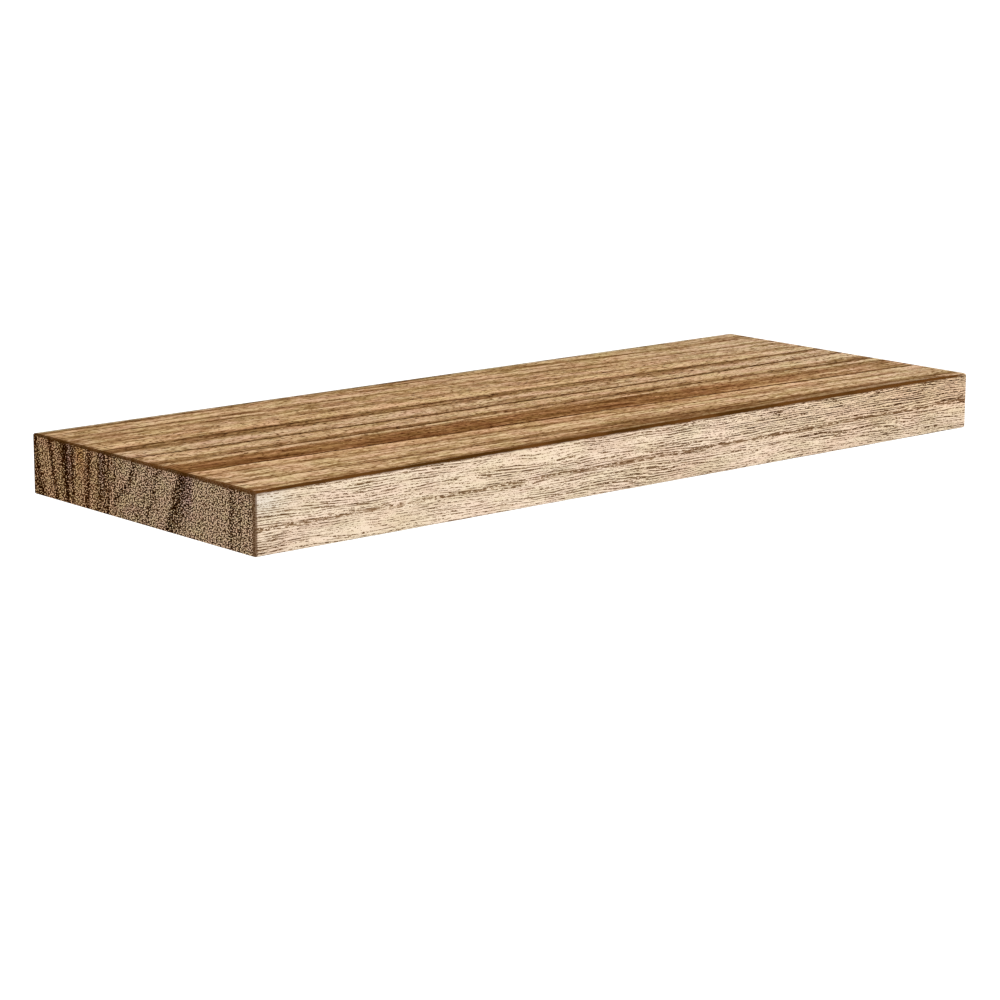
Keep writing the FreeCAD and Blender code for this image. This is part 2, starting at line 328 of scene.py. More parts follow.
# The grain changes from one stave to the other within this distance of the glue line.
GLUE_BLEND_MM = 0.3


def plank_places(graph):
    """Millimetres along the plank, back from the wall and down from the top, and the surface's facing."""
    x, y, z = graph.split(graph.places.outputs["Object"])
    along = x * MM_PER_METRE + LENGTH_MM / 2
    back = y * -MM_PER_METRE
    down = THICKNESS_MM / 2 - z * MM_PER_METRE
    facing = graph.split(graph.places.outputs["Normal"])
    return along, back, down, facing


def ring_place(graph, along, back, down):
    """Where a point lies on the ring scale: the grain drifts along the plank and leans through it."""
    share = along / LENGTH_MM
    behind_glue = back.above(GLUE_MM + GLUE_BLEND_MM, GLUE_MM - GLUE_BLEND_MM)
    drift_back = share * (share * 16 + 3)
    drift_front = graph.curve(back, FRONT_DRIFT, RING_SPAN_MM) * share * MOST_DRIFT_MM
    lean_back = graph.curve(back, BACK_LEAN, RING_SPAN_MM) - UPRIGHT
    lean_front = graph.curve(back, FRONT_LEAN, RING_SPAN_MM) - UPRIGHT
    wedge = down * down * back.above(118, 96) * -0.018
    bow = back.above(92, 104) * back.above(128, 116) * along.above(120, 260) * along.above(560, 420) * 3.5
    shift_back = drift_back + lean_back * down
    shift_front = drift_front + lean_front * down + wedge + bow
    shift = behind_glue * shift_back + (1 - behind_glue) * shift_front
    slow = (graph.noise(along / 230, back / 45, down / 60) - 0.5) * 3
    quick = (graph.noise(along / 60, back / 14, down / 28) - 0.5) * 2.6
    fine = (graph.noise(along / 12, back / 5, down / 12, detail=1) - 0.5) * 0.8
    return back - shift + slow + quick + fine


def ring_level(place, rings, least):
    """How dark the rings make a place on the ring scale, before any variation."""
    level = least
    for edge, rise, fall, dark in rings:
        reach = rise if place < edge else fall
        near = max(0.0, 1 - abs(place - edge) / reach)
        level = max(level, dark * near * (2 - near) if place < edge else dark * near)
    return level


def ring_curve(graph, ring, rings, least):
    """ring_level along the whole ring scale, as a curve."""
    evenly = {RING_STEP_MM * step for step in range(round(RING_SPAN_MM / RING_STEP_MM))}
    places = sorted({0.0, RING_SPAN_MM} | {edge for edge, *_ in rings} | evenly)
    apart = [place for place, following in zip(places, places[1:]) if following - place > RING_GAP_MM]
    points = [(place, ring_level(place, rings, least)) for place in apart + [RING_SPAN_MM]]
    return graph.curve(ring, points, RING_SPAN_MM)


def ring_shade(graph, ring, along):
    """How dark the rings make a point of the top and of the end grain, from 0 to 1, and the thin lines."""
    streaks = graph.noise(along / 120, ring / 3.5, 0.5, detail=3)
    broad = ring_curve(graph, ring, RINGS, 0.12) * (streaks * 1.1 + 0.45)
    end = ring_curve(graph, ring, END_RINGS, 0.0)
    gaps = graph.noise(along / 45, ring / 6, 3.5, detail=3, roughness=0.6)
    lines = None
    for position, half_width, dark in HAIRLINES:
        line = abs(ring - position).above(half_width, half_width * 0.3) * dark
        lines = line if lines is None else lines.at_least(line)
    return broad.clamped(), end, lines * gaps.above(0.26, 0.46)


def edge_mask(first, second, rough):
    """1 on an arris, fading where the sum of two distances over their widths passes 1."""
    return (first + second + rough).above(1.25, 0.75)


def make_grain(graph, along, back, down, ring):
    """Noise shared by the plank's faces: fibres, flecks and clouds that follow the grain."""
    sway = (graph.noise(along / 95, back / 20, down / 18, detail=1) - 0.5) * 7
    ripple = (graph.noise(along / 26, back / 6, down / 8, detail=2) - 0.5) * 1.6
    row = down + sway + ripple
    lane = ring + ripple * 0.6
    return {
        "row": row,
        "long": graph.noise(along / 210, lane / 5.0, row / 3.5, detail=3, roughness=0.6),
        "fibre": graph.noise(along / 46, lane / 2.4, row / 1.2, detail=3, roughness=0.65),
        "fleck": graph.noise(along / 9, lane / 2.8, row / 0.9, detail=2, roughness=0.75),
        "thread": abs(graph.noise(along / 150, lane / 6.0, row / 5.0, detail=1) - 0.5).above(0.08, 0.03),
        "pore": graph.noise(along / 3.8, lane / 1.4, row / 0.5, detail=2, roughness=0.6),
        "cloud": graph.noise(along / 60, back / 30, down / 30, detail=2),
        "hue": graph.noise(along / 24, back / 13, down / 7, detail=1),
    }


PINKER = (1.0, 0.9, 0.97, 1)
GREENER = (0.93, 1.0, 0.88, 1)


def tint(graph, surface, hue, strength):
    """Patches a little pinker and a little greener."""
    surface = graph.mix(hue.above(0.5, 0.66) * strength, surface, PINKER, "MULTIPLY")
    return graph.mix(hue.above(0.5, 0.34) * strength, surface, GREENER, "MULTIPLY")


def top_bands(ring, along, back):
    """Bands of the top face that are darker or lighter than its rings make them."""
    middle = along.above(150, 240) * along.above(440, 380)
    right = along.above(240, 400)
    far_right = along.above(400, 480)
    # where it lies, where it has faded out and where it is full on each side, its stretch, how much darker
    bands = [
        (93, 6, 2, right, 0.4),
        (106, 7, 2, middle, 0.25),
        (178, 5, 2, middle, 0.38),
        (204, 5, 1, middle, 0.38),
        (218, 5, 2, middle, 0.38),
        (50, 7, 4, far_right, -0.2),
        (131, 12, 7, far_right, -0.2),
        (170, 7, 3, along.above(380, 450), -0.5),
    ]
    total = back.above(206, 218) * along.above(150, 260) * along.above(520, 400) * 0.4
    total = total + abs(ring - 151).above(11, 6) * (along.above(520, 330) * 0.26 - 0.04)
    for place, faded, full, stretch, change in bands:
        total = total + abs(back - place).above(faded, full) * stretch * change
    return total


def top_colour(graph, grain, ring, broad, lines, along, back):
    """Oiled brown face: dark rings, grey-pink, reddish and yellowish zones, long streaks and flecks, and
    painted shade along the back edge.
    """
    tone = graph.mix(grain["cloud"].above(0.4, 0.62), colour(222, 188, 146), colour(220, 186, 148))
    tone = graph.coats(tone, [
        (abs(ring - 96).above(14, 5) * 0.6, (220, 188, 154)),
        (abs(ring - 149).above(15, 8) * 0.8, (222, 176, 130)),
        (abs(ring - 168).above(10, 4) * 0.5, (228, 184, 142)),
        (abs(ring - 66).above(9, 4) * 0.5, (234, 196, 150)),
        (back.above(30, 8) * along.above(200, 500) * 0.6, (216, 190, 142)),
        # Painted shade: greyer and darker within 8 mm of the back edge.
        (back.above(8, 1) * 0.8, (176, 164, 140)),
        (back.above(170, 200) * 0.6, (228, 196, 156)),
        (along.above(430, LENGTH_MM) * 0.6, (224, 198, 166)),
    ])
    tone = tint(graph, tone, grain["hue"], 0.6)
    streak = (grain["long"] - 0.5) * 1.4 + (grain["fibre"] - 0.5) * 1.6 + (grain["fleck"] - 0.5) * 2.2
    porous = abs(back - 95).above(60, 30)
    threads = grain["thread"] * grain["fibre"].above(0.35, 0.55) * 0.4
    pores = grain["pore"].above(0.51, 0.70) * (porous * 0.8 + 1.4) - porous * 0.03 + threads
    strength = broad * 1.2 - 0.14 + streak + lines * 1.7 + pores + top_bands(ring, along, back)
    return graph.deepen(tone, strength.at_least(0.0)), streak


def edge_colour(graph, grain, along, down, on_front):
    """Sawn long edge: cream, with short fine brown strokes, crowded above one thin dark ring."""
    row = grain["row"] - along * 0.012
    drift = (graph.noise(along / 38, 1.5, row / 3.0, detail=2) - 0.5) * 3.0
    wave = graph.math("PINGPONG", (row + drift) / 1.5, 0.5)
    between = graph.math("PINGPONG", (row - drift * 1.3) / 1.2 + 0.3, 0.5)
    short = graph.noise(along / 2.8, 2.5, row / 0.9, detail=2, roughness=0.75)
    middle = graph.noise(along / 12, 5.5, row / 1.1, detail=1)
    soft = graph.noise(along / 30, 11.5, row / 2.0, detail=2)
    crowd = graph.noise(along / 60, 14.5, row / 5, detail=1)
    above_ring = down - 22.3 + along * 0.0066 + (graph.noise(along / 45, 17.5, 0.5, detail=2) - 0.5) * 4
    thin_ring = abs(above_ring).above(1.6, 0.4) * (middle * 0.3 + short * 0.7).above(0.45, 0.54)
    packed = above_ring.above(-9, 0) * above_ring.above(1.0, 0.4)
    dense = along.above(290, 420)
    upper = dense * down.above(18, 11)
    busy = (crowd - 0.5) * 0.18 + packed * 0.02 - down.above(12, 2) * 0.01 + upper * 0.026
    strokes = wave.above(0.27, 0.13) * (short * 0.8 + middle * 0.2 + busy).above(0.475, 0.55)
    dashes = between.above(0.25, 0.11) * (middle * 0.15 + short * -0.85 + busy + 0.85).above(0.515, 0.59)
    marks = strokes.at_least(dashes * 0.8) * (0.78 + (soft - 0.5) * 0.6 + busy)
    marks = marks.at_least(thin_ring * 0.6).clamped()
    cream = graph.mix(grain["cloud"].above(0.5, 0.72) * 0.4, colour(249, 227, 201), colour(240, 212, 180))
    cream = graph.mix(along.above(320, 600) * down.above(36, 8) * 0.6, cream, colour(242, 206, 164))
    cream = tint(graph, cream, grain["hue"], 0.3)
    pale = (along.above(34, 6) * down.above(20, 6) * on_front * 0.5).clamped()
    cream = graph.mix(pale, cream, colour(236, 232, 224))
    tan = along.above(230, 580) * (down.above(26, 34) * 0.04 + 0.04)
    strength = marks * (dense * 0.3 + upper * 1.1 + 2.3 - pale) + soft.above(0.44, 0.62) * 0.12 + tan
    return graph.deepen(cream, strength, BARE_BROWN), marks


def end_colour(graph, grain, along, back, down, rings):
    """End grain: dark, rough and open, with pale fibre ends and dark rings."""
    grit = graph.noise(along / 3, back / 1.28, down / 0.8, detail=1, roughness=0.3)
    fine = graph.noise(along / 3, back / 0.4, down / 0.4, detail=1)
    clump = graph.noise(along / 9, back / 5, down / 3.5, detail=2)
    forward = back.above(60, 115)
    orange = abs(back - 52).above(7, 2) * down.above(26, 6)
    plum = abs(back - 39).above(6, 1) + abs(back - 75).above(5, 1) + abs(back - 162).above(8, 4)
    base = graph.mix(forward, colour(252, 212, 166), colour(252, 220, 184))
    base = graph.coats(base, [
        (orange * 0.6, (238, 180, 108)),
        (plum * down.above(34, 12) * 0.6, (220, 186, 180)),
    ])
    base = tint(graph, base, grain["hue"], 0.6)
    glue = abs(back - GLUE_MM).above(1.6, 0.4)
    dark = rings.at_least(glue * 0.7) * (clump + 0.45)
    shade = dark * 2.9 + back.above(110, 60) * 0.5 + plum * down.above(38, 20) * 0.25
    specks = (grit - 0.5) * (forward * 9 + 28 - dark * 8)
    strength = shade + 1.38 + forward * 0.16 - specks - (clump - 0.5) * 0.6
    strength = strength.at_least(0.0).at_most(dark * 1.2 + forward * 0.7 + 3.0) + (fine - 0.5) * 1.6
    return graph.deepen(base, strength.at_least(0.0)), grit


# How wide the stain is along the top's front arris, as a share of the widest.
WIDEST_STAIN_MM = 6
STAIN_WIDTH = [(0, 0.3), (150, 0.4), (330, 0.6), (540, 0.7), (585, 0.4), (LENGTH_MM, 0.15)]


def stain_arrises(graph, surface, along, back, down):
    """Brown, rubbed arrises round the top face and down the left front corner, with soft darker bands beside
    the top's front and left arrises.
    """
    ragged = (graph.noise(along / 9, back / 9, down / 3, detail=3, roughness=0.6) - 0.5) * 0.5
    uneven = graph.noise(along / 50, back / 30, 2.5, detail=2)
    front = DEPTH_MM - back
    right = LENGTH_MM - along
    width = graph.curve(along, STAIN_WIDTH, LENGTH_MM) * WIDEST_STAIN_MM
    left_depth = back * 0.004 + 1.3
    shade = edge_mask(front / (width * 5 - 7).at_least(0.5), down / 2.0, ragged * 2)
    left_shade = edge_mask(along / 5.0, down / (left_depth * 1.5), ragged * 2)
    dark = graph.mix(uneven.above(0.4, 0.6), colour(74, 44, 12), colour(98, 60, 24))
    return graph.coats(surface, [
        (shade * 0.55, (96, 60, 26)),
        (left_shade * 0.25, (84, 50, 24)),
        (edge_mask(along / 2.0, back / 1.6, ragged) * 0.8, (70, 56, 42)),
        (edge_mask(front / width, down / 1.5, ragged), dark),
        (edge_mask(along / 1.8, down / left_depth, ragged) * 0.9, dark),
        (edge_mask(along / 1.6, front / 3.0, ragged) * 0.8, (104, 72, 44)),
        (edge_mask(right / 1.2, down / 1.0, ragged) * 0.5, (150, 118, 84)),
    ])


def make_wood():
    """Open-grained plank: toned top, pale sawn edges, rough dark end grain and stained arrises."""
    graph = Graph("board_wood")
    along, back, down, facing = plank_places(graph)
    ring = ring_place(graph, along, back, down)
    broad, end_rings, lines = ring_shade(graph, ring, along)
    grain = make_grain(graph, along, back, down, ring)
    on_end = abs(facing[0]).above(0.5, 0.7)
    on_edge = abs(facing[1]).above(0.35, 0.6)
    on_front = facing[1].above(-0.35, -0.6)

    top, streak = top_colour(graph, grain, ring, broad, lines, along, back)
    edge, marks = edge_colour(graph, grain, along, down, on_front)
    end, grit = end_colour(graph, grain, along, back, down, end_rings)
    surface = graph.mix(on_end, graph.mix(on_edge, top, edge), end)
    surface = stain_arrises(graph, surface, along, back, down)

    top_height = streak * -0.35 - lines * 0.5
    edge_height = (grain["fibre"] - 0.5) * 0.3 - marks * 0.8
    height = top_height + on_edge * (edge_height - top_height)
    height = height + on_end * (grit * 1.2 - height)
    rough = 0.66 - streak * 0.1 + on_end * 0.2
    return graph.finish(surface, rough, graph.bump(height, 0.3, 0.6), specular=0.0)


# ---- plank meshes ----

ARRIS_MM = 1.2
ARRIS_STEPS = (15, 30, 45)
ACROSS_STEP_MM = 1.25
ALONG_STEP_MM = 6.0
# How far from an arris the wood is worn, and from an end it is rough.
WEAR_REACH_MM = 3.2
END_ROUGH_MM = 0.6
# The least angle in degrees that shows as an edge, where nothing else is said.
SMOOTH_ANGLE = 40


def grid_lines(low, high, pitch, round_low, round_high):
    """Grid positions from low to high, with extra lines where an end is rounded."""
    start = [low]
    stop = [high]
    if round_low:
        core = low + ARRIS_MM
        start = [core - ARRIS_MM * math.tan(math.radians(angle)) for angle in reversed(ARRIS_STEPS)] + [core]
    if round_high:
        core = high - ARRIS_MM
        stop = [core] + [core + ARRIS_MM * math.tan(math.radians(angle)) for angle in ARRIS_STEPS]
    first = start[-1]
    last = stop[0]
    count = max(1, round((last - first) / pitch))
    middle = [first + (last - first) * step / count for step in range(1, count)]
    return start + middle + stop


def add_block_faces(mesh, xs, ys, zs):
    """The six gridded faces of a block."""
    corners = {}

    def corner(place):
        if place not in corners:
            corners[place] = mesh.verts.new(place)
        return corners[place]

    for axis, lines in enumerate((xs, ys, zs)):
        first, second = [other for other in (xs, ys, zs) if other is not lines]
        for value in (lines[0], lines[-1]):
            outward = value == lines[-1]
            flip = outward != (axis == 1)
            for i in range(len(first) - 1):
                for j in range(len(second) - 1):
                    ring = [(first[i], second[j]), (first[i + 1], second[j]),
                            (first[i + 1], second[j + 1]), (first[i], second[j + 1])]
                    places = [pair[:axis] + (value,) + pair[axis:] for pair in ring]
                    if not flip:
                        places.reverse()
                    mesh.faces.new([corner(place) for place in places])


def rounded(place, core_low, core_high):
    """Move a point of a sharp block on to the block with rounded arrises."""
    point = Vector(place)
    core = Vector([min(max(value, low), high) for value, low, high in zip(point, core_low, core_high)])
    offset = point - core
    if offset.length > ARRIS_MM:
        offset.length = ARRIS_MM
    return core + offset


def worn(point):
    """Small losses on the arrises and a rough end grain, in millimetres."""
    half = LENGTH_MM / 2
    front = point.y + DEPTH_MM
    top = THICKNESS_MM / 2 - point.z
    bottom = point.z + THICKNESS_MM / 2
    from_end = half - abs(point.x)
    along = (point.x + half) / LENGTH_MM
    shifted = point.copy()
    chatter = noise.noise(Vector((point.x / 17, 3.1, 0.7)))
    chatter += 0.5 * noise.noise(Vector((point.x / 5, 8.2, 0.4)))
    for near, gain in ((top, 0.3 + 0.5 * along), (bottom, 0.3)):
        closeness = max(0.0, 1 - (front + near) / WEAR_REACH_MM)
        loss = closeness * closeness * gain * (0.6 + 0.6 * chatter)
        shifted.y += loss
        shifted.z += -loss if near is top else loss
    closeness = max(0.0, 1 - from_end / END_ROUGH_MM)
    grit = noise.fractal(Vector((point.y / 1.7, point.z / 1.5, point.x / 3)), 0.7, 2.0, 3)
    inside = min(front, top, bottom, -point.y)
    depth = closeness * (0.16 + 0.14 * grit) * min(1.0, max(0.0, inside / 2))
    shifted.x -= math.copysign(depth, point.x)
    return shifted


def make_block(name, low, high, square_side):
    """A stave: a gridded block with rounded, slightly worn arrises, square at its glued side."""
    glue_low = square_side == "low"
    xs = grid_lines(low.x, high.x, ALONG_STEP_MM, True, True)
    ys = grid_lines(low.y, high.y, ACROSS_STEP_MM, not glue_low, glue_low)
    zs = grid_lines(low.z, high.z, ACROSS_STEP_MM, True, True)
    mesh = bmesh.new()
    add_block_faces(mesh, xs, ys, zs)
    inset = Vector((ARRIS_MM, ARRIS_MM, ARRIS_MM))
    core_low = low + inset
    core_high = high - inset
    if glue_low:
        core_low.y = low.y
    else:
        core_high.y = high.y
    for vertex in mesh.verts:
        vertex.co = worn(rounded(vertex.co, core_low, core_high)) * MM
    return to_object(name, mesh)


def to_object(name, mesh, smooth_angle=SMOOTH_ANGLE):
    data = bpy.data.meshes.new(name)
    mesh.normal_update()
    mesh.to_mesh(data)
    mesh.free()
    piece = bpy.data.objects.new(name, data)
    bpy.context.scene.collection.objects.link(piece)
    data.polygons.foreach_set("use_smooth", [True] * len(data.polygons))
    data.set_sharp_from_angle(angle=math.radians(smooth_angle))
    return piece


def cut(piece, cutters, smooth_angle=SMOOTH_ANGLE):
    """Take the cutters' shapes out of a piece and delete them."""
    for cutter in cutters:
        modifier = piece.modifiers.new("cut", "BOOLEAN")
        modifier.operation = "DIFFERENCE"
        modifier.solver = "EXACT"
        modifier.object = cutter
    apply_modifiers(piece)
    piece.data.set_sharp_from_angle(angle=math.radians(smooth_angle))
    for cutter in cutters:
        bpy.data.objects.remove(cutter)


def apply_modifiers(piece):
    graph = bpy.context.evaluated_depsgraph_get()
    data = bpy.data.meshes.new_from_object(piece.evaluated_get(graph))
    old = piece.data
    piece.modifiers.clear()
    piece.data = data
    data.name = old.name
    bpy.data.meshes.remove(old)


def add_turned_faces(mesh, outline, segments, centre, closed=False, wave=None):
    """A surface turned about an axis along Y: outline is (radius, y), and a radius of 0 is a point.

    closed joins the last place of the outline to the first. wave(angle, number) moves the place of that
    number by (outward, along Y).
    """
    rings = []
    for number, (radius, y) in enumerate(outline):
        ring = []
        for step in range(segments if radius else 1):
            angle = 2 * math.pi * step / segments
            outward, onward = wave(angle, number) if wave else (0, 0)
            x = centre[0] + (radius + outward) * math.cos(angle)
            z = centre[1] + (radius + outward) * math.sin(angle)
            ring.append(mesh.verts.new((x * MM, (y + onward) * MM, z * MM)))
        rings.append(ring)
    pairs = list(zip(rings, rings[1:]))
    if closed:
        pairs.append((rings[-1], rings[0]))
    for near, far in pairs:
        for step in range(segments):
            following = (step + 1) % segments
            if len(near) == 1:
                mesh.faces.new((near[0], far[step], far[following]))
            elif len(far) == 1:
                mesh.faces.new((near[step], far[0], near[following]))
            else:
                mesh.faces.new((near[step], far[step], far[following], near[following]))


def make_turned(name, outline, segments, centre, closed=False, wave=None, smooth_angle=SMOOTH_ANGLE):
    mesh = bmesh.new()
    add_turned_faces(mesh, outline, segments, centre, closed, wave)
    bmesh.ops.recalc_face_normals(mesh, faces=mesh.faces)
    return to_object(name, mesh, smooth_angle)


def box_mm(node):
    low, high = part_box(node)
    return low / MM, high / MM


def round_box_mm(node):
    """A round piece's lowest and highest corners, the X and Z of its axis, and its radius."""
    low, high = box_mm(node)
    return low, high, ((low.x + high.x) / 2, (low.z + high.z) / 2), (high.x - low.x) / 2


def make_prism(name, loops):
    """A closed prism between two loops of corners, given in millimetres."""
    mesh = bmesh.new()
    near, far = [[mesh.verts.new([value * MM for value in place]) for place in loop] for loop in loops]
    for step in range(len(near)):
        following = (step + 1) % len(near)
        mesh.faces.new((near[step], near[following], far[following], far[step]))
    mesh.faces.new(reversed(near))
    mesh.faces.new(far)
    bmesh.ops.recalc_face_normals(mesh, faces=mesh.faces)
    return to_object(name, mesh)


# The recess for a wall plate, and the bore for a rod with what is spare beyond its end.
RECESS_DEPTH_MM = 4.5
RECESS_GAP_MM = 1.5
BORE_GAP_MM = 0.25
BORE_SPARE_MM = 8.0
MOUTH_RADIUS_MM = 9.0
# How far the recess's cutter starts outside the plank's back.
OUTSIDE_MM = 2.0


def make_recess_cutter(side):
    """The round-ended recess that a wall plate sits in."""
    low, high = box_mm(f"{side}_bracket_plate")
    centre = (low + high) / 2
    radius = (high.z - low.z) / 2 + RECESS_GAP_MM
    reach = (high.x - low.x) / 2 + RECESS_GAP_MM - radius
    segments = 24
    loops = []
    for y in (-RECESS_DEPTH_MM, OUTSIDE_MM):
        loop = []
        for end in (1, -1):
            for step in range(segments + 1):
                angle = math.pi * step / segments - end * math.pi / 2
                x = centre.x + end * reach + radius * math.cos(angle)
                loop.append((x, y, centre.z + radius * math.sin(angle)))
        loops.append(loop)
    return make_prism(f"{side}_recess_cutter", loops)


def make_bore_cutter(side):
    """The blind bore for a rod: a wide mouth that clears the weld, then a straight hole."""
    low, _, centre, rod_radius = round_box_mm(f"{side}_rod")
    radius = rod_radius + BORE_GAP_MM
    mouth = MOUTH_RADIUS_MM
    start = -RECESS_DEPTH_MM
    end = low.y - BORE_SPARE_MM
    outline = [(0, start + 1), (mouth, start + 1), (mouth, start), (radius, start - (mouth - radius)),
               (radius, end), (0, end - radius * 0.6)]
    return make_turned(f"{side}_bore_cutter", outline, 48, centre)


def make_staves(wood):
    low = BOARD_LOW / MM
    high = BOARD_HIGH / MM
    parts = {
        "back_stave": (Vector((low.x, -GLUE_MM, low.z)), high, "low"),
        "front_stave": (low, Vector((high.x, -GLUE_MM, high.z)), "high"),
    }
    for node, (stave_low, stave_high, glued) in parts.items():
        piece = make_block(f"{node}_wood", stave_low, stave_high, glued)
        cutters = [make_bore_cutter(side) for side in SIDES]
        if node == "back_stave":
            cutters += [make_recess_cutter(side) for side in SIDES]
        cut(piece, cutters)
        piece.data.materials.append(wood)
        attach(piece, "shelf_board")
        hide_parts(node)


# ---- metal and plastic ----

def fixing_places(graph):
    """Millimetres along X, Y and Z."""
    return [place * MM_PER_METRE for place in graph.split(graph.places.outputs["Object"])]


def finish_zinc(graph, zinc, x, y, z, brushed, bare, heat):
    """Zinc plating over brushed steel: clouded, spangled and lightly scratched, burnt by the weld."""
    cloud = graph.noise(x / 17, y / 17, z / 17, detail=3, roughness=0.6)
    blotch = graph.noise(x / 4, y / 4, z / 4, detail=2)
    spangle = graph.cells(x / 1.7, y / 1.7, z / 1.7)
    red, green, blue = zinc
    base = graph.mix(cloud.above(0.35, 0.65), colour(red - 16, green - 14, blue - 10), colour(*zinc))
    base = graph.coats(base, [
        (blotch.above(0.5, 0.68) * 0.35, (red - 6, green - 10, blue - 24)),
        (spangle * 0.07, (red + 38, green + 38, blue + 38)),
        (brushed.above(0.45, 0.2) * 0.3, (red - 60, green - 60, blue - 58)),
        (bare * 0.6, (232, 233, 232)),
        (heat.above(0.0, 1.0) * 0.55, (104, 94, 80)),
    ])
    rough = 0.36 + (cloud - 0.5) * 0.3 + (brushed - 0.5) * 0.2 + heat * 0.2
    relief = graph.bump(brushed * 0.6 + cloud * 0.4, 0.04, 0.7)
    return graph.finish(base, rough, relief, metallic=1.0)


def make_plate_zinc():
    """Punched strip: brushed along its length, lightly scratched, burnt round the rod's weld."""
    graph = Graph("plate_zinc")
    x, y, z = fixing_places(graph)
    brushed = graph.noise(x / 7, y / 0.3, z / 0.22, detail=3, roughness=0.6)
    scratch = graph.noise(x / 11 + z / 3, y / 3, z / 0.8 - x / 9, detail=2)
    patch = graph.noise(x / 6, y / 6, z / 6)
    bare = abs(scratch - 0.5).above(0.012, 0.002) * patch.above(0.5, 0.6)
    aside = abs(x) - ROD_X_MM
    from_rod = graph.math("SQRT", aside * aside + z * z, 0)
    heat = from_rod.above(22, 7) * (patch + 0.5)
    return finish_zinc(graph, (160, 161, 158), x, y, z, brushed, bare, heat)


def make_rod_zinc():
    """Drawn rod: fine rings round it, and long rubs where the plank slides."""
    graph = Graph("rod_zinc")
    x, y, z = fixing_places(graph)
    brushed = graph.noise(x / 4, y / 0.25, z / 4, detail=3, roughness=0.6)
    rub = graph.noise(x / 0.7, y / 32, z / 0.7, detail=2)
    bare = abs(rub - 0.5).above(0.03, 0.005) * graph.noise(x / 3, y / 14, z / 3).above(0.45, 0.6)
    heat = y.above(-16, -7.5) * (graph.noise(x / 4, y / 3, z / 4) * 0.6 + 0.7)
    return finish_zinc(graph, (168, 169, 167), x, y, z, brushed, bare, heat)


def make_weld_zinc():
    """Thin plating over a weld bead: darker and rougher, with scale in its hollows."""
    graph = Graph("weld_zinc")
    x, y, z = fixing_places(graph)
    cloud = graph.noise(x / 3, y / 3, z / 3, detail=3, roughness=0.7)
    grit = graph.noise(x / 0.35, y / 0.35, z / 0.35, detail=2)
    base = graph.mix(cloud.above(0.35, 0.65), colour(98, 94, 88), colour(142, 142, 139))
    base = graph.mix(grit.above(0.58, 0.7) * 0.5, base, colour(64, 58, 52))
    rough = 0.45 + (cloud - 0.5) * 0.3
    return graph.finish(base, rough, graph.bump(grit + cloud, 0.06, 0.8), metallic=1.0)


def make_screw_zinc():
    """Yellow passivated zinc with its usual rainbow tints."""
    graph = Graph("screw_zinc")
    x, y, z = fixing_places(graph)
    cloud = graph.noise(x / 5, y / 7, z / 5, detail=2)
    film = graph.noise(x / 2.2, y / 3, z / 2.2, detail=2)
    grit = graph.noise(x / 0.2, y / 0.2, z / 0.2, detail=1)
    base = graph.mix(cloud.above(0.38, 0.62), colour(186, 168, 112), colour(198, 188, 150))
    base = graph.coats(base, [
        (film.above(0.54, 0.66) * 0.4, (176, 140, 132)),
        (film.above(0.46, 0.34) * 0.35, (150, 172, 146)),
        (grit.above(0.6, 0.75) * 0.3, (118, 104, 66)),
    ])
    rough = 0.32 + (cloud - 0.5) * 0.2
    return graph.finish(base, rough, graph.bump(grit, 0.01, 0.6), metallic=1.0)


def make_nylon():
    """Moulded grey nylon: slightly mottled, with flow lines and a fine matt skin."""
    graph = Graph("anchor_nylon")
    x, y, z = fixing_places(graph)
    cloud = graph.noise(x / 6, y / 9, z / 6, detail=2)
    flow = graph.noise(x / 1.2, y / 10, z / 1.2, detail=2)
    skin = graph.noise(x / 0.15, y / 0.15, z / 0.15, detail=1)
    base = graph.mix(cloud.above(0.38, 0.62), colour(150, 153, 156), colour(162, 165, 167))
    base = graph.mix(flow.above(0.5, 0.7) * 0.3, base, colour(176, 178, 180))
    rough = 0.5 + (skin - 0.5) * 0.2
    return graph.finish(base, rough, graph.bump(skin + flow, 0.02, 0.6), specular=0.4)


# ---- bracket and fixing meshes ----

def place_piece(piece, node, material):
    """Hang a bracket piece in place of its CAD node."""
    piece.data.materials.append(material)
    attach(piece, "wall_brackets")
    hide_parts(node)


WELD_STEPS = 14
WELD_BULGE_MM = 0.22
WELD_RIPPLES = 26
WELD_SEGMENTS = WELD_RIPPLES * 12
CRATER_ANGLE = 4.4
CRATER_HALF_ANGLE = 0.22


def weld_wave(angle, number):
    """How far the bead's face moves outward and along Y for its ripples and the crater at its end."""
    if number == 0:
        return (0, 0)
    share = (number - 1) / WELD_STEPS
    crescent = 0.9 * math.sin(math.pi * share)
    phase = angle * WELD_RIPPLES / (2 * math.pi) - crescent
    uneven = noise.noise(Vector((math.cos(angle) * 2.1, math.sin(angle) * 2.1, share)))
    height = abs(math.sin(math.pi * phase)) - 0.65 + uneven * 0.7
    crater = max(0.0, 1 - abs(angle - CRATER_ANGLE) / CRATER_HALF_ANGLE)
    lift = (height * 0.26 - crater * 0.4) * math.sin(math.pi * share)
    return (lift * 0.7, -lift * 0.7)


def make_weld(side, material):
    """A fillet weld of overlapping ripples, with the crater where the arc stopped."""
    node = f"{side}_weld"
    low, high, centre, outer = round_box_mm(node)
    leg = high.y - low.y
    inner = outer - leg
    outline = [(inner, high.y)]
    for step in range(WELD_STEPS + 1):
        share = step / WELD_STEPS
        bulge = WELD_BULGE_MM * math.sin(math.pi * share)
        outline.append((inner + leg * (1 - share) + bulge, high.y - leg * share - bulge))
    piece = make_turned(f"{node}_bead", outline, WELD_SEGMENTS, centre, closed=True, wave=weld_wave,
                        smooth_angle=60)
    place_piece(piece, node, material)


